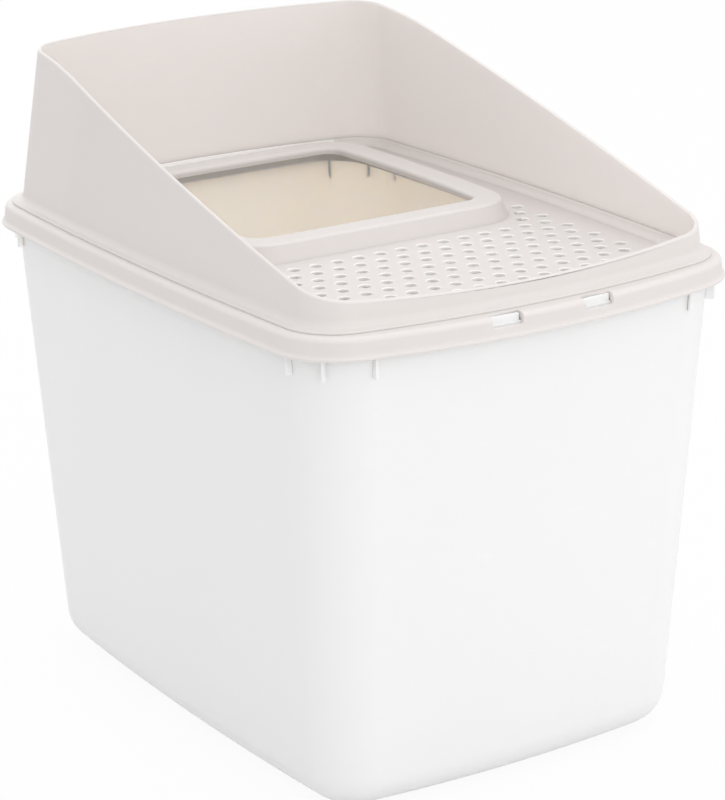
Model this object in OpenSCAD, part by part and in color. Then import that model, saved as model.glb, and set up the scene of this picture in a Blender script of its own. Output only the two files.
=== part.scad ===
// Top entry litter box: a deep tub, a lid with a perforated platform and a raised
// entry collar, and a hood wall that is high at the back and sloped down to the front.
// +Z is up, -Y is the low front, the origin is on the ground under the middle.

/* [Overall] */
// Width over the bead of the lid
lid_w = 390; // [370:1:420]
// Length over the bead of the lid
lid_l = 543; // [520:1:580]
// Height of the bead's widest line above the ground
lid_z = 360; // [340:1:380]

/* [Tub] */
// Width of the tub at its floor
tub_foot_w = 323; // [305:1:340]
// Length of the tub at its floor
tub_foot_l = 457; // [440:1:490]
// How far the floor lies behind the middle of the rim
tub_foot_shift = 6; // [0:0.5:10]
// Width of the tub just under the rim
tub_top_w = 365; // [358:1:369]
// Length of the tub just under the rim
tub_top_l = 515; // [500:1:517]
// Radius of the rounded edge round the floor
tub_edge_r = 28; // [15:1:32]
// Thickness of the tub's wall and floor
tub_wall = 2.8; // [2:0.1:3.6]
// Thickness of the tub's rim
rim_t = 2.6; // [2:0.1:4]
// Slanted step from the wall out to the underside of the rim
rim_fillet = 0.6; // [0.4:0.1:0.8]
// Length of the gusset ribs under the rim
rib_h = 24; // [12:1:40]
// Thickness of a gusset rib
rib_t = 2.4; // [1.6:0.1:4]

/* [Lid] */
// Height of the lid's flange above the bead's widest line
flange_rise = 15; // [12:0.5:20]
// Thickness of the lid's walls
lid_wall = 3; // [2.4:0.1:3.4]
// Height of the bead along the lower edge
bead_h = 3.6; // [2.4:0.1:5]
// How far the bead stands out from the skirt
bead_out = 1.5; // [0.5:0.1:2.5]
// How far the skirt's sides lean in between the bead and the flange
skirt_lean = 3.5; // [2:0.1:4]
// How far the skirt's ends lean in
end_lean = 0.3; // [0:0.1:2]
// Rounding of the skirt's upper edge
skirt_r = 4; // [2:0.5:6]
// Width of the slots that the tub's lugs stand in
slot_w = 25; // [16:1:32]
// Distance between the middles of two slots
slot_pitch = 78; // [60:1:110]
// How far a slot reaches down the skirt
slot_drop = 8; // [6:0.5:9]
// Thickness of a lug
lug_t = 3; // [2:0.1:4]
// Clearance round a lug in its slot
lug_gap = 1; // [0.5:0.1:2]

/* [Platform] */
// Depth of the platform below the flange
platform_drop = 2.5; // [1.5:0.1:3]
// Thickness of the platform
platform_t = 3.2; // [2.6:0.1:3.6]
// Radius of the cove between the platform and the hood
cove_r = 6; // [4:0.5:8]
// Diameter of the holes that let litter fall back
hole_d = 9.5; // [6:0.5:11]
// Distance between holes in a row
hole_pitch_x = 18.7; // [16:0.1:24]
// Distance between rows of holes
hole_pitch_y = 16.7; // [14:0.1:22]
// Distance of the first row of holes from the collar
hole_row_gap = 22; // [18:0.5:26]
// Bare strip between the holes and the cove
hole_margin = 7; // [5:0.5:12]

/* [Entry collar] */
// Width of the entry opening
entry_w = 208; // [190:1:212]
// Length of the entry opening
entry_l = 216; // [195:1:220]
// Distance of the entry opening's middle behind the middle of the lid
entry_shift = 78; // [74:1:80]
// Width of the collar's top
collar_w = 22; // [18:0.5:23]
// Height of the collar above the platform
collar_h = 14.5; // [10:0.5:20]
// How far the collar's outer face spreads towards the platform
collar_spread = 4; // [2:0.5:5]

/* [Hood] */
// Width of the hood at its foot
hood_foot_w = 356; // [350:1:357]
// Distance of the foot's front from the middle of the lid
hood_foot_front = 250; // [244:1:252]
// Distance of the foot's back from the middle of the lid
hood_foot_back = 252; // [246:1:253]
// Width of the hood at its top
hood_top_w = 328; // [316:1:340]
// Distance of the top's back from the middle of the lid
hood_top_back = 237; // [228:1:244]
// Height of the hood at the back, above its foot
hood_h = 127.5; // [100:1:150]
// Angle of the straight slope at the sides
hood_slope = 14.3; // [11:0.1:17]
// Where the slope meets the level top, behind the middle of the lid
hood_slope_end = 176; // [160:1:185]
// Softness of the bend between the slope and the level top
hood_bend = 14; // [6:1:16]
// Thickness of the hood's wall
hood_wall = 3; // [2.4:0.1:3.6]
// How far the hood's foot spreads out
foot_flare = 3.6; // [1:0.2:4]
// Height of the bead along the edge of the hood's foot
foot_bead_h = 3.5; // [2:0.5:5]
// Height of the hollow curve from the foot's bead up to the wall
foot_h = 11; // [8:0.5:14]

/* [Fit] */
// Clearance between the lid and the tub
lid_gap = 0.4; // [0.3:0.05:0.6]
// Clearance between the hood and the walls of its channel
hood_gap = 0.3; // [0.2:0.05:0.5]
// Width of the open groove beside the hood's foot
groove_w = 1.6; // [1:0.2:2]

/* [Hidden] */

// Fineness of the outlines: points on each arc of a quarter
arc_n = 5;
corner_n = 7;

// Colours as moulded
tub_colour = [0.95, 0.95, 0.95];
lid_colour = [0.88, 0.85, 0.83];

// Small sizes shared by the mouldings
edge_break = 0.5;
groove_break = 0.8;
hidden_step = 0.3;
sink = 1;

// Middles of the ribs on the ends and on the sides, and reach of the shapes that cut them
rib_x = 135;
rib_y = 227;
rib_reach = 60;

// Rounding of the collar's top edges and how far its inner edge hangs down
collar_edge_r = 3;
collar_lip = 6;

// Flat that leads from the cove onto the platform
toe_w = 2.4;

// Holes are cut from this many columns each side and rows either way
hole_columns = 12;
rows_back = 4;
rows_front = 9;
hole_clear = 2.5;

// Levels
flange_z = lid_z + flange_rise;
platform_z = flange_z - platform_drop;
plate_z = platform_z - platform_t;
channel_z = platform_z - edge_break;
rim_z = plate_z - lid_gap;
hood_top_z = channel_z + hood_h;

// Bows of the sides and ends, and the corner radii, of each outline
lid_bow = [9.5, 30];
lid_r = 56;
skirt_top_r = 50;
foot_bow = [8.3, 10.5];
foot_r = 40;
top_bow = [7.5, 17];
top_r = 53;
hood_foot_bow = [8.5, 21.5];
hood_foot_r = 36;
hood_top_bow = [9.5, 25];
hood_top_r = 33;
collar_bow = [3.8, 1.6];
collar_r = 35;

// An outline is [half width, half length, side bow, end bow, corner radius, y of middle].
// Its sides and ends are shallow arcs, and its corners are arcs tangent to both.

function inset(o, d) = [o[0] - d, o[1] - d, o[2], o[3], max(o[4] - d, 1), o[5]];

function between(o, p, t) = [for (i = [0:5]) o[i] + (p[i] - o[i]) * t];

function arc_radius(half, bow) = (half * half + bow * bow) / (2 * bow);

function quarter(o) =
    let (
        side_r = arc_radius(o[1], o[2]),
        end_r = arc_radius(o[0], o[3]),
        side_x = o[0] - side_r,
        end_y = o[1] - end_r,
        m = corner_point(side_x, side_r - o[4], end_y, end_r - o[4]),
        a1 = atan2(m[1], m[0] - side_x),
        a2 = atan2(m[1] - end_y, m[0])
    )
    concat(
        [for (i = [0:arc_n - 1]) let (a = a1 * i / arc_n)
            [side_x + side_r * cos(a), side_r * sin(a)]],
        [for (i = [0:corner_n - 1]) let (a = a1 + (a2 - a1) * i / corner_n)
            [m[0] + o[4] * cos(a), m[1] + o[4] * sin(a)]],
        [for (i = [0:arc_n]) let (a = a2 + (90 - a2) * i / arc_n)
            [end_r * cos(a), end_y + end_r * sin(a)]]
    );

// The crossing of a circle about [x, 0] and one about [0, y] that lies in the
// first quarter
function corner_point(x, rx, y, ry) =
    let (
        d = sqrt(x * x + y * y),
        along = (rx * rx - ry * ry + d * d) / (2 * d),
        across = sqrt(max(rx * rx - along * along, 0)),
        ux = -x / d,
        uy = y / d,
        p = [x + ux * along - uy * across, uy * along + ux * across],
        q = [x + ux * along + uy * across, uy * along - ux * across]
    )
    p[0] + p[1] > q[0] + q[1] ? p : q;

function outline(o) =
    let (q = quarter(o), n = len(q))
    [for (p = concat(
        q,
        [for (i = [n - 2:-1:0]) [-q[i][0], q[i][1]]],
        [for (i = [1:n - 1]) [-q[i][0], -q[i][1]]],
        [for (i = [n - 2:-1:1]) [q[i][0], -q[i][1]]]
    )) [p[0], p[1] + o[5]]];

// Closed tube of wall: each ring is a list of points, and the last ring joins the first
module swept(rings) {
    count = len(rings);
    n = len(rings[0]);
    polyhedron(
        points = [for (ring = rings) for (p = ring) p],
        faces = [for (k = [0:count - 1]) for (i = [0:n - 1])
            let (k2 = (k + 1) % count, j = (i + 1) % n)
            each [
                [k * n + i, k2 * n + i, k2 * n + j],
                [k * n + i, k2 * n + j, k * n + j]
            ]],
        convexity = 8
    );
}

// Open stack of rings, closed by a flat face at its first and at its last ring
module stacked(rings) {
    count = len(rings);
    n = len(rings[0]);
    polyhedron(
        points = [for (ring = rings) for (p = ring) p],
        faces = concat(
            [[for (i = [0:n - 1]) i]],
            [for (k = [0:count - 2]) for (i = [0:n - 1])
                let (j = (i + 1) % n)
                each [
                    [k * n + i, (k + 1) * n + i, (k + 1) * n + j],
                    [k * n + i, (k + 1) * n + j, k * n + j]
                ]],
            [[for (i = [n - 1:-1:0]) (count - 1) * n + i]]
        ),
        convexity = 8
    );
}

function ring_at(o, z) = [for (p = outline(o)) [p[0], p[1], z]];

bead_line = [lid_w / 2, lid_l / 2, lid_bow[0], lid_bow[1], lid_r, 0];
skirt_foot_line = inset(bead_line, bead_out);
skirt_top_line = [skirt_foot_line[0] - skirt_lean, skirt_foot_line[1] - end_lean,
    lid_bow[0], lid_bow[1], skirt_top_r, 0];

tub_foot_line = [tub_foot_w / 2, tub_foot_l / 2, foot_bow[0], foot_bow[1], foot_r,
    tub_foot_shift];
tub_top_line = [tub_top_w / 2, tub_top_l / 2, top_bow[0], top_bow[1], top_r, 0];

// The rim fills the inside of the skirt, less the fit
rim_line = inset(skirt_top_line, lid_wall + lid_gap);

hood_foot_mid = (hood_foot_back - hood_foot_front) / 2;
hood_foot_line = [hood_foot_w / 2, (hood_foot_back + hood_foot_front) / 2,
    hood_foot_bow[0], hood_foot_bow[1], hood_foot_r, hood_foot_mid];
hood_top_front = hood_foot_front;
hood_top_line = [hood_top_w / 2, (hood_top_back + hood_top_front) / 2,
    hood_top_bow[0], hood_top_bow[1], hood_top_r, (hood_top_back - hood_top_front) / 2];

collar_line = [entry_w / 2 + collar_w, entry_l / 2 + collar_w,
    collar_bow[0], collar_bow[1], collar_r, entry_shift];

function skirt_line(z) =
    between(skirt_foot_line, skirt_top_line, (z - lid_z) / flange_rise);

function tub_line(z) = between(tub_foot_line, tub_top_line, z / rim_z);

function hood_line(z) = between(hood_foot_line, hood_top_line, (z - channel_z) / hood_h);

// Rings of the rounded edge: the wall turns in towards the floor
function edge_rings(r, d, floor_z) = [for (i = [0:6]) let (a = 90 * i / 6, z = r * (1 - cos(a)))
    ring_at(inset(tub_line(z + floor_z), d + r * (1 - sin(a))), z + floor_z)];

module tub_shell() {
    inner_r = tub_edge_r - tub_wall;
    stacked(concat(
        edge_rings(tub_edge_r, 0, 0),
        [
            ring_at(tub_line(rim_z - rim_t - rim_fillet), rim_z - rim_t - rim_fillet),
            ring_at(inset(tub_line(rim_z - rim_t), -rim_fillet), rim_z - rim_t),
            ring_at(inset(rim_line, edge_break), rim_z - rim_t),
            ring_at(rim_line, rim_z - rim_t + edge_break),
            ring_at(rim_line, rim_z - edge_break),
            ring_at(inset(rim_line, edge_break), rim_z),
            ring_at(inset(tub_line(rim_z), tub_wall - sink), rim_z),
            ring_at(inset(tub_line(rim_z), tub_wall), rim_z - sink)
        ],
        [for (i = [6:-1:0]) edge_rings(inner_r, tub_wall, tub_wall)[i]]
    ));
}

// Footprint between the middle of the tub's wall and the edge of the rim
module rim_band() {
    difference() {
        polygon(outline(inset(rim_line, hidden_step)));
        polygon(outline(inset(tub_line(rim_z - rib_h / 2), tub_wall / 2)));
    }
}

// Three ribs at each corner: one on the end, one on the corner, one on the side
module rib_places() {
    corner = [tub_top_w / 2 - top_bow[0] - top_r, tub_top_l / 2 - top_bow[1] - top_r];
    for (sx = [-1, 1], sy = [-1, 1]) {
        translate([sx * rib_x, sy * tub_top_l / 2])
            square([rib_t, rib_reach], center = true);
        translate([sx * tub_top_w / 2, sy * rib_y])
            square([rib_reach, rib_t], center = true);
        translate([sx * corner[0], sy * corner[1]])
            rotate(sx * sy * 45 + (sx < 0 ? 180 : 0))
                translate([0, -rib_t / 2])
                    square([2 * rib_reach, rib_t]);
    }
}

module lug_places(width) {
    for (sx = [-1, 1], sy = [-1, 1])
        translate([sx * slot_pitch / 2, sy * (lid_l / 2)])
            square([width, rib_reach], center = true);
}

module tub() {
    lug_top = flange_z - sink;
    color(tub_colour) {
        tub_shell();
        translate([0, 0, rim_z - rim_t - rib_h])
            linear_extrude(rib_h + rim_t / 2)
                intersection() {
                    rim_band();
                    rib_places();
                }
        translate([0, 0, rim_z - rim_t / 2])
            linear_extrude(lug_top - rim_z + rim_t / 2)
                difference() {
                    intersection() {
                        polygon(outline(inset(rim_line, hidden_step)));
                        lug_places(slot_w - 2 * lug_gap);
                    }
                    polygon(outline(inset(rim_line, lug_t)));
                }
    }
}

// Section of the lid from the bead over the flange and channel to the platform, and
// back under it
module lid_ring() {
    groove_line = inset(hood_foot_line, -foot_flare - groove_w);
    tongue_line = inset(hood_foot_line, hood_wall + hood_gap);
    tongue_z = platform_z + cove_r;
    tongue_top_line = inset(hood_line(tongue_z), hood_wall + hood_gap);
    toe = cove_r + toe_w;
    under_z = plate_z + hidden_step;
    bead_top = lid_z + bead_h / 2;
    swept(concat(
        [
            ring_at(inset(bead_line, lid_wall), lid_z - bead_h / 2),
            ring_at(inset(bead_line, bead_out / 2), lid_z - bead_h / 2),
            ring_at(bead_line, lid_z - bead_h / 4),
            ring_at(bead_line, lid_z + bead_h / 4),
            ring_at(inset(bead_line, bead_out / 2), bead_top),
            ring_at(skirt_line(bead_top), bead_top + groove_break)
        ],
        [for (i = [0:4]) let (a = 90 * i / 4, z = flange_z - skirt_r * (1 - sin(a)))
            ring_at(inset(skirt_line(z), skirt_r * (1 - cos(a))), z)],
        [
            ring_at(inset(groove_line, -groove_break), flange_z),
            ring_at(groove_line, flange_z - groove_break),
            ring_at(groove_line, channel_z),
            ring_at(tongue_line, channel_z),
            ring_at(tongue_top_line, tongue_z - edge_break),
            ring_at(inset(tongue_top_line, edge_break), tongue_z)
        ],
        [for (i = [1:4]) let (a = 90 * i / 4)
            ring_at(
                inset(tongue_line, toe_w + cove_r * (1 - cos(a))),
                platform_z + edge_break + (cove_r - edge_break) * (1 - sin(a))
            )],
        [
            ring_at(inset(tongue_line, toe), under_z),
            ring_at(inset(skirt_line(under_z), lid_wall + sink), under_z),
            ring_at(inset(skirt_line(under_z - sink), lid_wall), under_z - sink)
        ]
    ));
}

// Holes in staggered rows, kept clear of the cove and of the collar
module platform_holes() {
    first_y = entry_shift - entry_l / 2 - collar_w - hole_row_gap;
    half_x = hood_foot_w / 2 - hood_foot_bow[0] - hood_wall - cove_r - toe_w - hole_margin
        - hole_d / 2;
    for (row = [-rows_back:rows_front]) {
        y = first_y - row * hole_pitch_y;
        shift = row % 2 == 0 ? 0 : hole_pitch_x / 2;
        for (i = [-hole_columns:hole_columns]) {
            x = i * hole_pitch_x + shift;
            clear = row >= 0 || beside_collar(x, y);
            if (abs(x) <= half_x && clear && on_platform(x, y))
                translate([x, y, plate_z - sink])
                    cylinder(h = platform_t + 2 * sink, d = hole_d, $fn = 24);
        }
    }
}

// Whether a hole at x, y keeps its distance from the rounded corner of the collar
function beside_collar(x, y) =
    let (
        dx = abs(x) - (entry_w / 2 + collar_w - collar_r),
        dy = entry_shift - entry_l / 2 - collar_w + collar_r - y
    )
    dx > 0 && dy > 0 && norm([dx, dy]) > collar_r + collar_spread + hole_d / 2 + hole_clear;

// Whether a hole at x, y keeps the bare strip to the bowed front of the platform
function on_platform(x, y) =
    let (
        front = hood_foot_front - hood_wall - cove_r - toe_w - hole_margin - hole_d / 2,
        bow = hood_foot_bow[1] * pow(x / (hood_foot_w / 2), 2)
    )
    y > bow - front;

module collar() {
    top = platform_z + collar_h;
    r = collar_edge_r;
    inner = collar_w - lid_wall;
    swept(concat(
        [
            ring_at(inset(collar_line, -collar_spread), platform_z - platform_t / 2),
            ring_at(inset(collar_line, -collar_spread), platform_z + hidden_step)
        ],
        [for (i = [0:3]) let (a = 30 * i)
            ring_at(inset(collar_line, r * (1 - cos(a))), top - r * (1 - sin(a)))],
        [for (i = [0:3]) let (a = 30 * i)
            ring_at(inset(collar_line, collar_w - r * (1 - sin(a))), top - r * (1 - cos(a)))],
        [
            ring_at(inset(collar_line, collar_w), top - collar_lip),
            ring_at(inset(collar_line, inner), top - collar_lip),
            ring_at(inset(collar_line, inner), top - lid_wall),
            ring_at(inset(collar_line, lid_wall), top - lid_wall),
            ring_at(inset(collar_line, lid_wall - collar_spread), platform_z - platform_t / 2)
        ]
    ));
}

module platform() {
    plate_line = inset(hood_foot_line, hood_wall + hood_gap + cove_r + toe_w - groove_break);
    difference() {
        translate([0, 0, plate_z])
            linear_extrude(platform_t)
                difference() {
                    polygon(outline(plate_line));
                    polygon(outline(inset(collar_line, lid_wall / 2 - collar_spread)));
                }
        platform_holes();
    }
}

// The four slots cut through the corner between flange and skirt
module slots() {
    translate([0, 0, flange_z - slot_drop])
        linear_extrude(slot_drop + sink)
            difference() {
                lug_places(slot_w);
                polygon(outline(inset(rim_line, lug_t + lug_gap)));
            }
}

module lid() {
    color(lid_colour) {
        difference() {
            lid_ring();
            slots();
        }
        platform();
        collar();
    }
}

// Height of the hood's upper edge at a place y: a straight slope, then level
function hood_edge_z(y) =
    let (
        slope_z = hood_top_z + (y - hood_slope_end) * tan(hood_slope),
        d = hood_top_z - slope_z,
        s = hood_bend
    )
    d > s ? slope_z : (d < -s ? hood_top_z : hood_top_z - pow(d + s, 2) / (4 * s));

// Ring along the hood's upper edge, set in by d and down by drop
function hood_ring(d, drop) =
    let (foot = outline(inset(hood_foot_line, d)), top = outline(inset(hood_top_line, d)))
    [for (i = [0:len(foot) - 1])
        let (z = hood_edge_z(top[i][1]) - drop, s = (z - channel_z) / hood_h)
        [
            foot[i][0] + (top[i][0] - foot[i][0]) * s,
            foot[i][1] + (top[i][1] - foot[i][1]) * s,
            z
        ]];

module hood_wall_ring() {
    foot_z = channel_z;
    bead_z = foot_z + foot_bead_h;
    swept(concat([
        ring_at(inset(hood_foot_line, -foot_flare), foot_z),
        ring_at(inset(hood_foot_line, -foot_flare), bead_z - edge_break),
        ring_at(inset(hood_foot_line, edge_break - foot_flare), bead_z)
        ],
        [for (i = [1:3]) let (a = 30 * i, z = bead_z + (foot_h - foot_bead_h) * (1 - cos(a)))
            ring_at(inset(hood_line(z), (2 * edge_break - foot_flare) * (1 - sin(a))), z)],
        [
        hood_ring(0, hood_wall / 2),
        hood_ring(edge_break, edge_break),
        hood_ring(hood_wall / 2, 0),
        hood_ring(hood_wall - edge_break, edge_break),
        hood_ring(hood_wall, hood_wall / 2),
        ring_at(inset(hood_line(foot_z + foot_h), hood_wall), foot_z + foot_h),
        ring_at(inset(hood_foot_line, hood_wall), foot_z)
    ]));
}

module hood() {
    color(lid_colour)
        hood_wall_ring();
}

tub();
lid();
hood();
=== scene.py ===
from math import atan2, cos, hypot, pi, radians, sin, sqrt, tan

import bmesh
import bpy
from mathutils import Matrix, Vector


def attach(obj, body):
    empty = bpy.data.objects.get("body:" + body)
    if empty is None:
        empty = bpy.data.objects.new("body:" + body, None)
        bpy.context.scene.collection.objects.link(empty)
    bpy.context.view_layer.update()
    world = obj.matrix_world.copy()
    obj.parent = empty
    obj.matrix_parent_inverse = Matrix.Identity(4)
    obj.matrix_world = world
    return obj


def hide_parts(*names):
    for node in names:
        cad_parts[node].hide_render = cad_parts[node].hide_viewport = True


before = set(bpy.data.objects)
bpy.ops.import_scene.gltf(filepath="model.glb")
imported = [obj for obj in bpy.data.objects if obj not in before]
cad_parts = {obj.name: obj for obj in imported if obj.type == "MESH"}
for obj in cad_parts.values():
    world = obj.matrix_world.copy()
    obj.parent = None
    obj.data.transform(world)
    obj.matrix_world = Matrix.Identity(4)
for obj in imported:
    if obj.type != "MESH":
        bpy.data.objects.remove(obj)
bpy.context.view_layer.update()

# The tub: one deep white polypropylene moulding, 2.8 mm thick, slightly cloudy so that light comes
# through its walls. The rim turns outwards at the top, short gussets hold it up at each corner,
# and a lug stands up from it in front of each slot of the lid.

# A moulded line runs round the box: half width, half length, bow of the sides, bow of the ends,
# corner radius and the middle's place along y, all in millimetres.
tub_foot = (161.5, 228.5, 8.3, 10.5, 40.0, 6.0)
tub_top = (182.5, 257.5, 7.5, 17.0, 53.0, 0.0)
tub_rim = (186.6, 266.3, 9.5, 30.0, 46.6, 0.0)
rim_top_z = 368.9
tub_wall = 2.8


def moulded_line(line, z):
    """The points of a moulded line at one height: shallow arcs joined by round corners."""
    half_w, half_l, side_bow, end_bow, corner, middle = line
    side_r = (half_l ** 2 + side_bow ** 2) / (2 * side_bow)
    end_r = (half_w ** 2 + end_bow ** 2) / (2 * end_bow)
    side_x, end_y = half_w - side_r, half_l - end_r
    apart = hypot(side_x, end_y)
    to_side, to_end = side_r - corner, end_r - corner
    along = (to_side ** 2 - to_end ** 2 + apart ** 2) / (2 * apart)
    across = sqrt(max(to_side ** 2 - along ** 2, 0.0))
    ux, uy = -side_x / apart, end_y / apart
    cx, cy = max(((side_x + ux * along + s * uy * across, uy * along - s * ux * across)
                  for s in (1, -1)), key=sum)
    turn_1 = atan2(cy, cx - side_x)
    turn_2 = atan2(cy - end_y, cx)
    quarter = [(side_x + side_r * cos(turn_1 * i / 12), side_r * sin(turn_1 * i / 12))
               for i in range(12)]
    quarter += [(cx + corner * cos(turn_1 + (turn_2 - turn_1) * i / 18),
                 cy + corner * sin(turn_1 + (turn_2 - turn_1) * i / 18)) for i in range(18)]
    quarter += [(end_r * cos(turn_2 + (pi / 2 - turn_2) * i / 14),
                 end_y + end_r * sin(turn_2 + (pi / 2 - turn_2) * i / 14)) for i in range(15)]
    back = quarter + [(-x, y) for x, y in quarter[-2::-1]]
    whole = back + [(x, -y) for x, y in back[-2:0:-1]]
    return [Vector((x, y + middle, z)) / 1000 for x, y in whole]


def set_in(line, d):
    """The same line set in towards the middle by d, with its corners kept round."""
    half_w, half_l, side_bow, end_bow, corner, middle = line
    return (half_w - d, half_l - d, side_bow, end_bow, max(corner - d, 1.0), middle)


def between(low, high, share):
    return tuple(a + (b - a) * share for a, b in zip(low, high))


def draw_out(bm, rings, closed):
    """Draws a moulded wall out of its first ring, ring by ring, with extrusions. A closed wall
    ends on its first ring again."""
    row = bmesh.ops.create_circle(bm, segments=len(rings[0]), radius=0.1)["verts"]
    for vert, place in zip(row, rings[0]):
        vert.co = place
    edges = [e for e in bm.edges if e.verts[0] in row and e.verts[1] in row]
    first_edges = edges
    for ring in rings[1:] + (rings[:1] if closed else []):
        made = bmesh.ops.extrude_edge_only(bm, edges=edges)["geom"]
        fresh = {v for v in made if isinstance(v, bmesh.types.BMVert)}
        row = [next(e.other_vert(v) for e in v.link_edges if e.other_vert(v) in fresh)
               for v in row]
        for vert, place in zip(row, ring):
            vert.co = place
        edges = [e for e in made if isinstance(e, bmesh.types.BMEdge)
                 and e.verts[0] in fresh and e.verts[1] in fresh]
    if closed:
        bmesh.ops.remove_doubles(bm, verts=bm.verts, dist=1e-6)
    else:
        bmesh.ops.edgeloop_fill(bm, edges=first_edges)
        bmesh.ops.edgeloop_fill(bm, edges=edges)


def shell_piece(name, bm, crease=38.0):
    """Makes the bmesh an object at the origin, with its faces outward and its creases kept."""
    bmesh.ops.recalc_face_normals(bm, faces=bm.faces)
    for face in bm.faces:
        face.smooth = True
    for edge in bm.edges:
        edge.smooth = len(edge.link_faces) == 2 and edge.calc_face_angle(0.0) < radians(crease)
    mesh = bpy.data.meshes.new(name)
    bm.to_mesh(mesh)
    bm.free()
    piece = bpy.data.objects.new(name, mesh)
    bpy.context.scene.collection.objects.link(piece)
    even = piece.modifiers.new("even_normals", "WEIGHTED_NORMAL")
    even.keep_sharp = True
    even.weight = 80
    return piece


def tub_line(z):
    return between(tub_foot, tub_top, z / rim_top_z)


def rounded_foot(radius, depth, floor_z):
    """The rounded edge between the floor and the wall, from the floor upwards."""
    rings = []
    for i in range(13):
        turn = pi / 2 * i / 12
        z = floor_z + radius * (1 - cos(turn))
        rings.append(moulded_line(set_in(tub_line(z), depth + radius * (1 - sin(turn))), z))
    return rings


def rounded_edge(line, radius, z_mid, start, stop, steps=4):
    """A small rounding on a moulded line, swept between two angles in degrees."""
    rings = []
    for i in range(steps + 1):
        turn = radians(start + (stop - start) * i / steps)
        rings.append(moulded_line(set_in(line, radius * (1 - cos(turn))),
                                  z_mid + radius * sin(turn)))
    return rings


rim_t, rim_round, foot_round, mouth_break = 2.6, 0.6, 28.0, 1.0
wall_heights = (60, 100, 150, 200, 250, 300)
under_rim = rim_top_z - rim_t
outside = rounded_foot(foot_round, 0.0, 0.0)
outside += [moulded_line(tub_line(z), z)
            for z in (*wall_heights, 340, 360, under_rim - rim_round)]
outside.append(moulded_line(set_in(tub_line(under_rim), -0.5), under_rim))
outside += rounded_edge(tub_rim, rim_round, under_rim + rim_round, -90, 0)
outside += rounded_edge(tub_rim, rim_round, rim_top_z - rim_round, 0, 90)
inside = [moulded_line(set_in(tub_line(rim_top_z), tub_wall - mouth_break), rim_top_z)]
inside += [moulded_line(set_in(tub_line(z), tub_wall), z)
           for z in (rim_top_z - mouth_break, 360, 330, *wall_heights[::-1])]
inside += rounded_foot(foot_round - tub_wall, tub_wall, tub_wall)[::-1]

bm = bmesh.new()
draw_out(bm, outside + inside, closed=False)


def upright_plate(bm, profile, thickness, place, turn, skew=0.0):
    """A thin upright plate from its profile (out, up), bevelled, turned about z and set down. Its
    inner end is skewed to lie along a wall that it meets at a slant."""
    plate = bmesh.new()
    face = plate.faces.new([plate.verts.new((out / 1000, -thickness / 2000, up / 1000))
                            for out, up in profile])
    pulled = bmesh.ops.extrude_face_region(plate, geom=[face])["geom"]
    bmesh.ops.translate(plate, verts=[v for v in pulled if isinstance(v, bmesh.types.BMVert)],
                        vec=(0, thickness / 1000, 0))
    middle = sum(out for out, up in profile) / len(profile) / 1000
    for vert in plate.verts:
        if vert.co.x < middle:
            vert.co.x += skew * vert.co.y
    bmesh.ops.bevel(plate, geom=plate.edges[:], offset=0.0004, segments=2, profile=0.5,
                    affect="EDGES", material=-1)
    set_down = Matrix.Translation(Vector(place) / 1000) @ Matrix.Rotation(turn, 4, "Z")
    bmesh.ops.transform(plate, verts=plate.verts, matrix=set_down)
    mesh = bpy.data.meshes.new("plate")
    plate.to_mesh(mesh)
    plate.free()
    bm.from_mesh(mesh)
    bpy.data.meshes.remove(mesh)



def way_out(line, place, turn):
    """How far a moulded line lies from a place, going out along a direction."""
    out = Vector((cos(turn), sin(turn), 0))
    points = [p * 1000 - Vector((*place, 0)) for p in moulded_line(line, 0)]
    for a, b in zip(points, points[1:] + points[:1]):
        side_a, side_b = a.cross(out).z, b.cross(out).z
        if side_a * side_b <= 0 < a.dot(out):
            return a.lerp(b, side_a / (side_a - side_b)).dot(out)


# Gussets: three at each corner. Each starts from a place inside the tub, faces outwards, and runs
# from the wall to just inside the edge of the rim.
gusset_t, gusset_h, gusset_x, gusset_y = 2.4, 24.0, 135, 205
gusset_foot, gusset_top = under_rim - gusset_h, under_rim - 0.03
for right in (1, -1):
    for far in (1, -1):
        for start, turn in (((right * gusset_x, far * 200), far * pi / 2),
                            ((right * 120, far * gusset_y), 0 if right > 0 else pi),
                            ((right * 122, far * 187.5), atan2(far, right))):
            low, high = (way_out(set_in(tub_line(z), -0.06), start, turn)
                         for z in (gusset_foot, gusset_top))
            beside = [way_out(tub_line(gusset_top),
                              (start[0] - s * sin(turn), start[1] + s * cos(turn)), turn)
                      for s in (-1, 1)]
            tip = way_out(set_in(tub_rim, 0.3), start, turn)
            profile = [(low, gusset_foot), (tip, gusset_foot), (tip, gusset_top),
                       (high, gusset_top)]
            upright_plate(bm, profile, gusset_t, (*start, 0), turn, (beside[1] - beside[0]) / 2)

# Lugs: short tabs on the rim, turned a little to follow the bow of the end.
lug_x, lug_y, lug_w, lug_t, lug_lean = 39, 262.8, 22.8, 2.6, 0.058
lug_foot, lug_top = rim_top_z - 1.2, 374.0
profile = [(-lug_w / 2, lug_foot), (lug_w / 2, lug_foot),
           (lug_w / 2, lug_top), (-lug_w / 2, lug_top)]
for right in (1, -1):
    for far in (1, -1):
        upright_plate(bm, profile, lug_t, (right * lug_x, far * lug_y, 0), -right * far * lug_lean)

tub = shell_piece("tub_shell", bm)
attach(tub, "tub")
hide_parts("tub")


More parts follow.
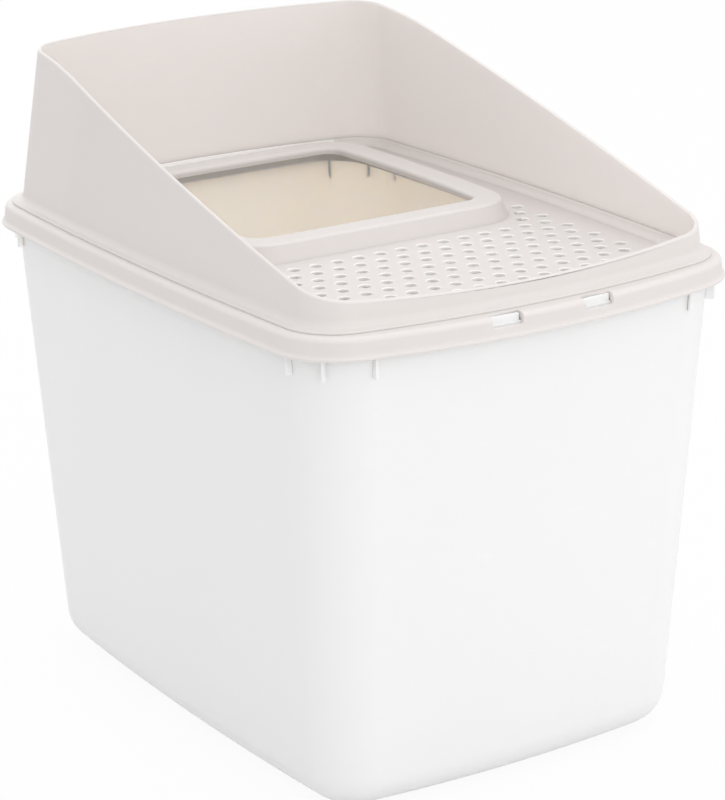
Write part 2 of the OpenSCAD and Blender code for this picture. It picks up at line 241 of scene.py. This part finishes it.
def fine_grain():
    """Shared by the three mouldings: the spark-eroded grain, its gloss and the faint flow marks."""
    group = bpy.data.node_groups.new("moulded_grain", "ShaderNodeTree")
    group.interface.new_socket("Grain Size", in_out="INPUT", socket_type="NodeSocketFloat")
    group.interface.new_socket("Flow Size", in_out="INPUT", socket_type="NodeSocketFloat")
    group.interface.new_socket("Grain", in_out="OUTPUT", socket_type="NodeSocketFloat")
    group.interface.new_socket("Flow", in_out="OUTPUT", socket_type="NodeSocketFloat")
    group.interface.new_socket("Scuffs", in_out="OUTPUT", socket_type="NodeSocketFloat")
    node, link = group.nodes.new, group.links.new
    entry, result = node("NodeGroupInput"), node("NodeGroupOutput")
    place = node("ShaderNodeTexCoord")
    grain = node("ShaderNodeTexNoise")
    grain.inputs["Detail"].default_value = 3.0
    link(place.outputs["Object"], grain.inputs["Vector"])
    link(entry.outputs["Grain Size"], grain.inputs["Scale"])
    flow = node("ShaderNodeTexNoise")
    flow.inputs["Detail"].default_value = 2.0
    flow.inputs["Distortion"].default_value = 0.6
    link(place.outputs["Object"], flow.inputs["Vector"])
    link(entry.outputs["Flow Size"], flow.inputs["Scale"])
    # Scuffs: thin strokes where a stretched noise crosses its middle value
    stretch = node("ShaderNodeMapping")
    stretch.inputs["Rotation"].default_value = (0.4, 0.9, 0.3)
    stretch.inputs["Scale"].default_value = (1.0, 9.0, 2.5)
    link(place.outputs["Object"], stretch.inputs["Vector"])
    strokes = node("ShaderNodeTexNoise")
    strokes.inputs["Scale"].default_value = 26.0
    strokes.inputs["Detail"].default_value = 4.0
    link(stretch.outputs["Vector"], strokes.inputs["Vector"])
    thin = node("ShaderNodeMapRange")
    thin.inputs["From Min"].default_value = 0.66
    thin.inputs["From Max"].default_value = 0.74
    link(strokes.outputs["Fac"], thin.inputs["Value"])
    link(grain.outputs["Fac"], result.inputs["Grain"])
    link(flow.outputs["Fac"], result.inputs["Flow"])
    link(thin.outputs["Result"], result.inputs["Scuffs"])
    return group


moulded_grain = fine_grain()


def moulded_plastic(name, low_tone, high_tone, dull, grain_size, clarity, light_reach):
    """A satin polypropylene: tone drifts with the flow marks, scuffs are duller and lighter, the
    grain is a bump, and some light goes through the wall."""
    material = bpy.data.materials.new(name)
    material.use_nodes = True
    tree = material.node_tree
    node, link = tree.nodes.new, tree.links.new
    surface = tree.nodes["Principled BSDF"]
    surface.inputs["IOR"].default_value = 1.49
    surface.inputs["Subsurface Weight"].default_value = clarity
    surface.inputs["Subsurface Radius"].default_value = light_reach
    surface.inputs["Subsurface Scale"].default_value = 0.01
    effects = node("ShaderNodeGroup")
    effects.node_tree = moulded_grain
    effects.inputs["Grain Size"].default_value = grain_size
    effects.inputs["Flow Size"].default_value = 5.0
    tone = node("ShaderNodeMix")
    tone.data_type = "RGBA"
    tone.inputs["A"].default_value = (*low_tone, 1)
    tone.inputs["B"].default_value = (*high_tone, 1)
    link(effects.outputs["Flow"], tone.inputs["Factor"])
    scuffed = node("ShaderNodeMix")
    scuffed.data_type = "RGBA"
    scuffed.inputs["B"].default_value = (*[min(c * 1.03, 1) for c in high_tone], 1)
    share = node("ShaderNodeMath")
    share.operation = "MULTIPLY"
    share.inputs[1].default_value = 0.35
    link(effects.outputs["Scuffs"], share.inputs[0])
    link(share.outputs["Value"], scuffed.inputs["Factor"])
    link(tone.outputs["Result"], scuffed.inputs["A"])
    link(scuffed.outputs["Result"], surface.inputs["Base Color"])
    gloss = node("ShaderNodeMapRange")
    gloss.inputs["To Min"].default_value = dull - 0.05
    gloss.inputs["To Max"].default_value = dull + 0.05
    link(effects.outputs["Flow"], gloss.inputs["Value"])
    rubbed = node("ShaderNodeMath")
    rubbed.operation = "MULTIPLY_ADD"
    rubbed.inputs[1].default_value = 0.10
    link(effects.outputs["Scuffs"], rubbed.inputs[0])
    link(gloss.outputs["Result"], rubbed.inputs[2])
    link(rubbed.outputs["Value"], surface.inputs["Roughness"])
    bump = node("ShaderNodeBump")
    bump.inputs["Strength"].default_value = 0.35
    bump.inputs["Distance"].default_value = 0.00012
    link(effects.outputs["Grain"], bump.inputs["Height"])
    link(bump.outputs["Normal"], surface.inputs["Normal"])
    return material


tub.data.materials.append(moulded_plastic(
    "tub_plastic", (0.87, 0.87, 0.875), (0.89, 0.89, 0.89),
    dull=0.42, grain_size=900.0, clarity=0.12, light_reach=(3.0, 3.0, 3.0)))
# Painted light: the inner faces get a lighter, creamier copy of the tub's colour, standing in for
# the glow of light that comes through the walls and bounces between them and the beige lid
tub.data.materials.append(moulded_plastic(
    "tub_inside_painted_glow", (0.94, 0.89, 0.825), (0.955, 0.91, 0.85),
    dull=0.46, grain_size=900.0, clarity=0.95, light_reach=(4.0, 2.6, 1.7)))


def faces_in(piece, top_z):
    """Gives the second material, the painted-light copy, to a wall's faces that look inwards, up to
    its edge.
    """
    for face in piece.data.polygons:
        inward = face.normal.x * face.center.x + face.normal.y * face.center.y < -0.02
        floor = face.normal.z > 0.99 and face.center.z < 0.01
        face.material_index = int(face.center.z < top_z / 1000 and (inward or floor))


faces_in(tub, rim_top_z - 0.5)

# The lid: one pinkish beige moulding. Its skirt hangs over the tub's rim with a bead along the
# lower edge, the hood's channel runs round the flange, and inside it a cove leads down to the
# platform. The platform's holes drop the litter back, and a raised collar frames the entry.
flange_z, flange_round, lid_wall = 375.0, 4.0, 3.0
platform_z, platform_t = 372.5, 3.2
plate_z, channel_z = platform_z - platform_t, platform_z - 0.5
bead_z, bead_h = 360.0, 3.6
bead_edge = (195.0, 271.5, 9.5, 30.0, 56.0, 0.0)
skirt_foot = set_in(bead_edge, 1.5)
skirt_top = (190.0, 269.7, 9.5, 30.0, 50.0, 0.0)
hood_foot = (178.0, 251.0, 8.5, 21.5, 36.0, 1.0)
hood_top = (164.0, 243.5, 9.5, 25.0, 33.0, -6.5)
hood_wall, hood_h, hood_gap = 3.0, 127.5, 0.12
groove_out, groove_break, tongue_break, cove, toe = 5.2, 0.8, 0.5, 6.0, 2.4


def skirt_line(z):
    return between(skirt_foot, skirt_top, (z - bead_z) / (flange_z - bead_z))


def hood_line(z):
    return between(hood_foot, hood_top, (z - channel_z) / hood_h)


groove = set_in(hood_foot, -groove_out)
tongue = set_in(hood_foot, hood_wall + hood_gap)
tongue_z = platform_z + cove
tongue_top = set_in(hood_line(tongue_z), hood_wall + hood_gap)
rings = [moulded_line(set_in(bead_edge, lid_wall), bead_z - bead_h / 2)]
rings += rounded_edge(bead_edge, bead_h / 2, bead_z, -90, 62, 8)
rings += [moulded_line(skirt_line(z), z) for z in (bead_z + 2.6, bead_z + 4.0)]
for i in range(9):
    turn = pi / 2 * i / 8
    z = flange_z - flange_round * (1 - sin(turn))
    rings.append(moulded_line(set_in(skirt_line(z), flange_round * (1 - cos(turn))), z))
for i in range(4):
    turn = pi / 2 * i / 3
    rings.append(moulded_line(set_in(groove, -groove_break * (1 - sin(turn))),
                              flange_z - groove_break * (1 - cos(turn))))
rings += [moulded_line(groove, channel_z), moulded_line(tongue, channel_z),
          moulded_line(tongue_top, tongue_z - tongue_break),
          moulded_line(set_in(tongue_top, 0.15), tongue_z - 0.15),
          moulded_line(set_in(tongue_top, tongue_break), tongue_z)]
for i in range(1, 11):
    turn = pi / 2 * i / 10
    rings.append(moulded_line(set_in(tongue, toe + cove * (1 - cos(turn))),
                              platform_z + 0.03 + cove * (1 - sin(turn))))
rings += [moulded_line(set_in(tongue, cove + toe), plate_z + 0.3),
          moulded_line(set_in(skirt_line(plate_z), lid_wall + 1.0), plate_z + 0.3),
          moulded_line(set_in(skirt_line(plate_z), lid_wall), plate_z - 0.7)]
bm = bmesh.new()
draw_out(bm, rings, closed=True)
lid_ring = shell_piece("lid_ring", bm)


def cut(piece, cutter):
    """Takes the cutter's shape out of the piece for good."""
    taken = piece.modifiers.new("cut", "BOOLEAN")
    taken.object = cutter
    taken.operation = "DIFFERENCE"
    taken.solver = "EXACT"
    piece.modifiers.move(len(piece.modifiers) - 1, 0)
    piece.modifiers["even_normals"].show_viewport = False
    view = bpy.context.evaluated_depsgraph_get()
    mesh = bpy.data.meshes.new_from_object(piece.evaluated_get(view))
    piece.modifiers["even_normals"].show_viewport = True
    piece.modifiers.remove(taken)
    old = piece.data
    piece.data = mesh
    bpy.data.meshes.remove(old)
    bpy.data.objects.remove(cutter)


# Four slots, each through the corner between flange and skirt, with rounded corners.
bm = bmesh.new()
for right in (1, -1):
    for far in (1, -1):
        box = bmesh.ops.create_cube(bm, size=1.0)["verts"]
        bmesh.ops.scale(bm, verts=box, vec=(0.025, 0.0145, 0.020))
        bmesh.ops.translate(bm, verts=box, vec=(right * lug_x / 1000, far * 0.2680, 0.377))
        run = [e for e in bm.edges if e.verts[0] in box
               and abs(e.verts[0].co.x - e.verts[1].co.x) < 1e-5
               and abs(e.verts[0].co.z - e.verts[1].co.z) < 1e-5]
        bmesh.ops.bevel(bm, geom=run, offset=0.002, segments=4, profile=0.5, affect="EDGES",
                        material=-1)
cut(lid_ring, shell_piece("slots", bm))

# The platform: a plate cut through by the entry and by staggered holes with well rounded edges.
entry_shift, collar_r, collar_spread, collar_h, collar_w = 78.0, 35.0, 4.0, 14.5, 22.0
collar_line = (126.0, 130.0, 3.8, 1.6, collar_r, entry_shift)
plate_edge = set_in(tongue, cove + toe - 0.4)
bm = bmesh.new()
draw_out(bm, [moulded_line(plate_edge, z) for z in (plate_z, platform_z)], closed=False)
platform = shell_piece("platform", bm)
bm = bmesh.new()
draw_out(bm, [moulded_line(set_in(collar_line, 1.5 - collar_spread), z)
              for z in (plate_z - 5, platform_z + 5)], closed=False)
hole_d, hole_round, pitch_x, pitch_y = 8.8, 0.0009, 18.7, 16.7
row_gap, holes_half_w, clear_of_collar = 22, 146.3, 46.25
first_y = entry_shift - collar_line[1] - row_gap


def plate_front(x, end):
    """The curve along the front of the platform, so far from the middle at its end."""
    return hood_foot[3] * (x / hood_foot[0]) ** 2 - end


for row in range(-4, 10):
    y = first_y - row * pitch_y
    for i in range(-12, 13):
        x = i * pitch_x + (row % 2) * pitch_x / 2
        past_x = abs(x) - (collar_line[0] - collar_r)
        past_y = entry_shift - (collar_line[1] - collar_r) - y
        beside = past_x > 0 and past_y > 0 and hypot(past_x, past_y) > clear_of_collar
        if abs(x) <= holes_half_w and (row >= 0 or beside) and y > plate_front(x, 226.8):
            bmesh.ops.create_cone(bm, cap_ends=True, segments=40, radius1=hole_d / 2000,
                                  radius2=hole_d / 2000, depth=0.012,
                                  matrix=Matrix.Translation((x / 1000, y / 1000, plate_z / 1000)))
cut(platform, shell_piece("holes", bm))
bm = bmesh.new()
bm.from_mesh(platform.data)
rims = [e for e in bm.edges if e.calc_face_angle(0.0) > radians(60) and e.calc_length() < 0.0009]
bmesh.ops.bevel(bm, geom=rims, offset=hole_round, segments=4, profile=0.5, affect="EDGES",
                material=-1)
for face in bm.faces:
    face.smooth = True
for edge in bm.edges:
    edge.smooth = edge.calc_face_angle(0.0) < radians(38)
bm.to_mesh(platform.data)
bm.free()

# The collar: a hollow moulded frame, open below, with a rounded top and a lip hanging inside.
top_z = platform_z + collar_h
collar_round, fillet, lip_h, lip_t, sunk = 3, 1.2, 6, 3, 1.6
rings = [moulded_line(set_in(collar_line, -collar_spread), platform_z - sunk)]
for i in range(6):
    turn = pi / 2 * i / 5
    rings.append(moulded_line(
        set_in(collar_line, 0.12 - collar_spread - fillet * (1 - sin(turn))),
        platform_z + fillet * (1 - cos(turn))))
for i in range(9):
    turn = pi / 2 * i / 8
    rings.append(moulded_line(set_in(collar_line, collar_round * (1 - cos(turn))),
                              top_z - collar_round * (1 - sin(turn))))
for i in range(9):
    turn = pi / 2 * i / 8
    rings.append(moulded_line(set_in(collar_line, collar_w - collar_round * (1 - sin(turn))),
                              top_z - collar_round * (1 - cos(turn))))
rings += [moulded_line(set_in(collar_line, depth), z)
          for depth, z in ((collar_w, top_z - lip_h + 0.4), (collar_w - 0.4, top_z - lip_h),
                           (collar_w - lip_t, top_z - lip_h),
                           (collar_w - lip_t, top_z - lid_wall), (lid_wall, top_z - lid_wall),
                           (lid_wall - collar_spread, platform_z - sunk))]
bm = bmesh.new()
draw_out(bm, rings, closed=True)
collar = shell_piece("collar", bm)

bm = bmesh.new()
for part in (lid_ring, platform, collar):
    bm.from_mesh(part.data)
    bpy.data.objects.remove(part)
lid = shell_piece("lid_moulding", bm)
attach(lid, "lid")
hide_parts("lid")
lid.data.materials.append(moulded_plastic(
    "lid_plastic", (0.70, 0.660, 0.640), (0.725, 0.685, 0.665),
    dull=0.44, grain_size=1100.0, clarity=0.2, light_reach=(1.2, 1.1, 1.05)))
# Painted light: inner faces and undersides get a lighter copy of the lid's colour, and the walls of
# the holes and of the collar's hollow a near-white one, for the light that spreads through the
# plastic and comes up through the holes
lid.data.materials.append(moulded_plastic(
    "lid_inside_painted_light", (0.78, 0.735, 0.71), (0.80, 0.755, 0.73),
    dull=0.44, grain_size=1100.0, clarity=0.03, light_reach=(1.2, 1.1, 1.05)))
lid.data.materials.append(moulded_plastic(
    "lid_holes_painted_glow", (0.97, 0.955, 0.94), (0.98, 0.965, 0.95),
    dull=0.44, grain_size=1100.0, clarity=0.03, light_reach=(1.2, 1.1, 1.05)))
# Masks of the painted light: inward faces and undersides take the lighter copy, hole walls and the
# collar's hollow the near-white one
for face in lid.data.polygons:
    x, y, z = (c * 1000 for c in face.center)
    flat = face.normal.z
    inward = face.normal.x * x + face.normal.y * y < -10 and plate_z < z < top_z - 2
    under = flat < -0.5 and z > plate_z - 1
    off_collar = abs(x) > 131 or y < -57
    in_plate = (plate_z - 0.1 < z < platform_z + 0.1 and abs(x) < 155
                and y > plate_front(x, 232.5))
    hollow = inward and z < top_z - lip_h - 0.1 and not off_collar
    if hollow or in_plate and off_collar and abs(flat) < 0.95:
        face.material_index = 2
    else:
        face.material_index = int(inward or under)

# The hood: a separate beige moulding pressed into the lid's channel. Its wall leans inwards, is
# level at the back and runs down to the front in one straight slope. Its foot spreads to a bead
# that lies over the channel.
foot_top, flare, bead_out, bead_r, lay = 11.0, 3.6, 3.0, 1.3, 0.04
slope_start, slope, bend = 176.0, radians(14.3), 14
hood_top_z = channel_z + hood_h


def hood_edge_z(y):
    """Height of the upper edge at y: a straight slope, a soft bend, then level."""
    below = (slope_start - y) * tan(slope)
    if below > bend:
        return hood_top_z - below
    return hood_top_z if below < -bend else hood_top_z - (below + bend) ** 2 / (4 * bend)


def hood_ring(depth, drop, share=1.0):
    """A ring of the wall set in by depth, at a share of the way up to the sloped edge."""
    foot, top = (moulded_line(set_in(line, depth), 0) for line in (hood_foot, hood_top))
    low = channel_z + foot_top
    ring = []
    for a, b in zip(foot, top):
        z = low + (hood_edge_z(b.y * 1000) - drop - low) * share
        at = a.lerp(b, (z - channel_z) / hood_h)
        ring.append(Vector((at.x, at.y, z / 1000)))
    return ring


shares = (0.12, 0.3, 0.5, 0.7, 0.88)
rings = [moulded_line(set_in(hood_foot, -flare), channel_z),
         moulded_line(set_in(hood_foot, -flare), flange_z + lay),
         moulded_line(set_in(hood_foot, 0.2 - flare - bead_out), flange_z + lay)]
rings += rounded_edge(set_in(hood_foot, -flare - bead_out), bead_r, flange_z + 0.5, -10, 90, 7)
foot_z = flange_z + 0.5 + bead_r
for i in range(1, 10):
    turn = pi / 2 * i / 9
    z = foot_z + (channel_z + foot_top - foot_z) * (1 - cos(turn))
    spread = flare + bead_out - 0.9
    rings.append(moulded_line(set_in(hood_line(z), -spread * (1 - sin(turn))), z))
rings += [hood_ring(0, 0, share) for share in shares]
for i in range(11):
    turn = pi * i / 10
    rings.append(hood_ring(hood_wall / 2 * (1 - cos(turn)), hood_wall / 2 * (1 - sin(turn))))
rings += [hood_ring(hood_wall, 0, share) for share in (*shares[::-1], 0.0)]
rings.append(moulded_line(set_in(hood_foot, hood_wall), channel_z))
bm = bmesh.new()
draw_out(bm, rings, closed=True)
hood = shell_piece("hood_moulding", bm)
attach(hood, "lid")
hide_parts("hood")
hood.data.materials.append(moulded_plastic(
    "hood_plastic", (0.70, 0.660, 0.640), (0.725, 0.685, 0.665),
    dull=0.44, grain_size=1100.0, clarity=0.1, light_reach=(2.0, 1.9, 1.85)))
# Light from behind comes through to the inside of the wall, which is made more translucent; its
# colour is also a touch lighter than the outside's, painted light
hood.data.materials.append(moulded_plastic(
    "hood_inside_painted_light", (0.71, 0.665, 0.640), (0.735, 0.69, 0.665),
    dull=0.44, grain_size=1100.0, clarity=0.6, light_reach=(2.4, 2.0, 1.9)))
faces_in(hood, hood_top_z - 2)

# The studio: a pale floor that runs off to white, and wide soft lamps on the right, above, in
# front and behind. None stands on the left, so that the long side stays greyer than the front.


def seen_directly(tree):
    """1 for a ray from the camera, a mirror or clear plastic, and 0 for one that lights things."""
    path = tree.nodes.new("ShaderNodeLightPath")
    value = path.outputs["Is Camera Ray"]
    for kind in ("Is Glossy Ray", "Is Transmission Ray"):
        either = tree.nodes.new("ShaderNodeMath")
        either.operation = "MAXIMUM"
        tree.links.new(value, either.inputs[0])
        tree.links.new(path.outputs[kind], either.inputs[1])
        value = either.outputs["Value"]
    return value


bm = bmesh.new()
bmesh.ops.create_grid(bm, x_segments=8, y_segments=8, size=6.0)
bmesh.ops.translate(bm, verts=bm.verts, vec=(0, 0, -0.0002))
mesh = bpy.data.meshes.new("floor")
bm.to_mesh(mesh)
bm.free()
floor = bpy.data.objects.new("floor", mesh)
bpy.context.scene.collection.objects.link(floor)
paint = bpy.data.materials.new("floor_paint")
paint.use_nodes = True
node, link = paint.node_tree.nodes.new, paint.node_tree.links.new
matt = paint.node_tree.nodes["Principled BSDF"]
matt.inputs["Base Color"].default_value = (0.8, 0.8, 0.8, 1)
matt.inputs["Roughness"].default_value = 0.9
glow = node("ShaderNodeEmission")
seen = node("ShaderNodeMath")
seen.operation = "MULTIPLY"
seen.inputs[1].default_value = 0.93
mixed = node("ShaderNodeMixShader")
link(seen_directly(paint.node_tree), seen.inputs[0])
link(seen.outputs["Value"], mixed.inputs["Fac"])
link(matt.outputs["BSDF"], mixed.inputs[1])
link(glow.outputs["Emission"], mixed.inputs[2])
link(mixed.outputs["Shader"], paint.node_tree.nodes["Material Output"].inputs["Surface"])
floor.data.materials.append(paint)

world = bpy.data.worlds.new("white_room")
bpy.context.scene.world = world
world.use_nodes = True
node, link = world.node_tree.nodes.new, world.node_tree.links.new
room = world.node_tree.nodes["Background"]
room.inputs["Color"].default_value = (1, 1, 1, 1)
room.inputs["Strength"].default_value = 0.93
white = node("ShaderNodeBackground")
white.inputs["Color"].default_value = (1, 1, 1, 1)
mixed = node("ShaderNodeMixShader")
link(seen_directly(world.node_tree), mixed.inputs["Fac"])
link(room.outputs["Background"], mixed.inputs[1])
link(white.outputs["Background"], mixed.inputs[2])
link(mixed.outputs["Shader"], world.node_tree.nodes["World Output"].inputs["Surface"])


def soft_lamp(name, place, size, power):
    lamp = bpy.data.lights.new(name, "AREA")
    lamp.shape = "RECTANGLE"
    lamp.size, lamp.size_y = size
    lamp.energy = power
    holder = bpy.data.objects.new(name, lamp)
    bpy.context.scene.collection.objects.link(holder)
    holder.location = place
    aim = Vector((0, 0, 0.25)) - Vector(place)
    holder.rotation_euler = aim.to_track_quat("-Z", "Y").to_euler()


soft_lamp("front_lamp", (2.5, -2.3, 1.5), (2.2, 1.8), 10.0)
soft_lamp("top_lamp", (0.2, -0.2, 3.2), (2.4, 2.4), 20.0)
soft_lamp("far_lamp", (-0.3, -3.4, 1.2), (2.4, 1.8), 15.0)
soft_lamp("back_lamp", (0.4, 3.2, 1.4), (2.4, 1.8), 13.0)

# The camera of the photograph, a long lens about 3.3 m away, fitted to the box's edges.
camera = bpy.data.objects.new("camera", bpy.data.cameras.new("camera"))
bpy.context.scene.collection.objects.link(camera)
camera.data.sensor_fit = "VERTICAL"
camera.data.sensor_height = 36.0
photo_w, photo_h, focal = 725, 800, 3050.04
camera.data.lens = focal / photo_h * 36
camera.data.shift_x = (photo_w / 2 - 364.60) / photo_h
camera.data.shift_y = (414.85 - photo_h / 2) / photo_h
camera.data.clip_end = 50.0
turned = (Matrix.Rotation(radians(-32.02), 4, "Z") @ Matrix.Rotation(radians(90 - 18.54), 4, "X")
          @ Matrix.Rotation(radians(-1.31), 4, "Z"))
away = turned.to_3x3() @ Vector((0, 0, 3.31052))
camera.matrix_world = Matrix.Translation(Vector((0.47694, 0.74590, -0.07474)) + away) @ turned
bpy.context.scene.camera = camera
bpy.context.scene.view_settings.view_transform = "Standard"
